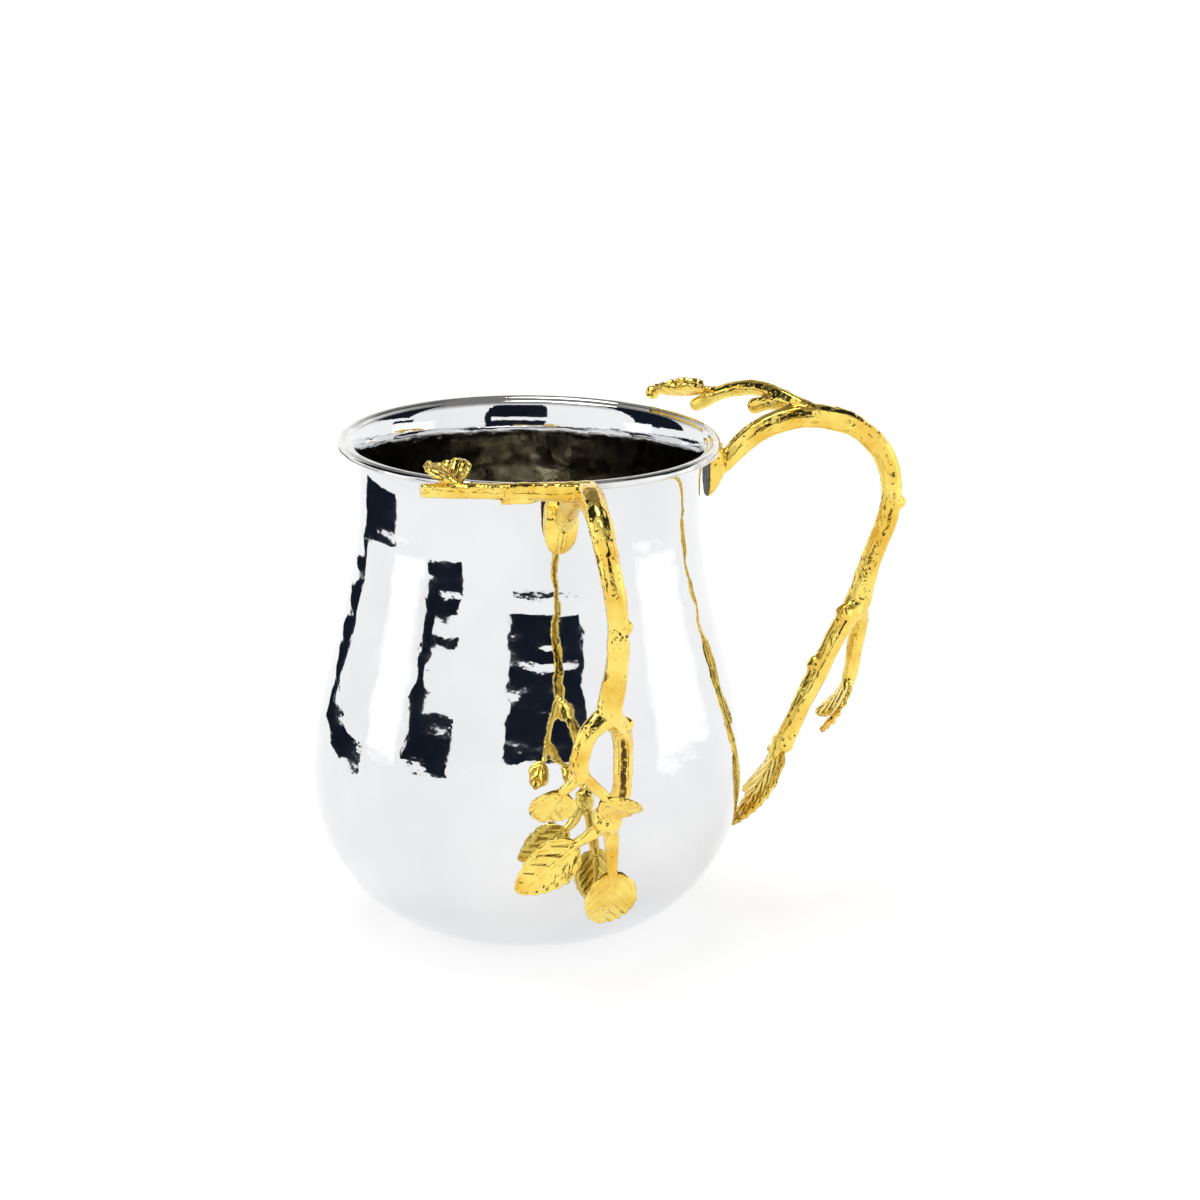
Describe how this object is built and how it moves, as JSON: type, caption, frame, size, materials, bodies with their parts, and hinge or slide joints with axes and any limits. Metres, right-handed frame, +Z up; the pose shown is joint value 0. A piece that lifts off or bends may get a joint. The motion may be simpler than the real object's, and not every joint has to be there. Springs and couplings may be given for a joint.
{
  "type": "washing cup",
  "caption": "Round-bellied washing cup of hammered steel with a rolled rim and gold-coloured handles cast as leafy branches.",
  "frame": {"origin": "centre of the cup's flat underside", "axes": "+Z up along the cup's axis, -Y towards the first handle, +X towards the second handle"},
  "size_m": [0.1697, 0.1677, 0.1493],
  "materials": {
    "hammered_steel": "mirror-polished stainless steel with shallow irregular hammer facets",
    "gold_casting": "polished gold-coloured brass casting with dark pits in the bark"
  },
  "bodies": {
    "root": {"cup_body": "hammered_steel", "front_handle": "gold_casting", "right_handle": "gold_casting"}
  },
  "joints": []
}
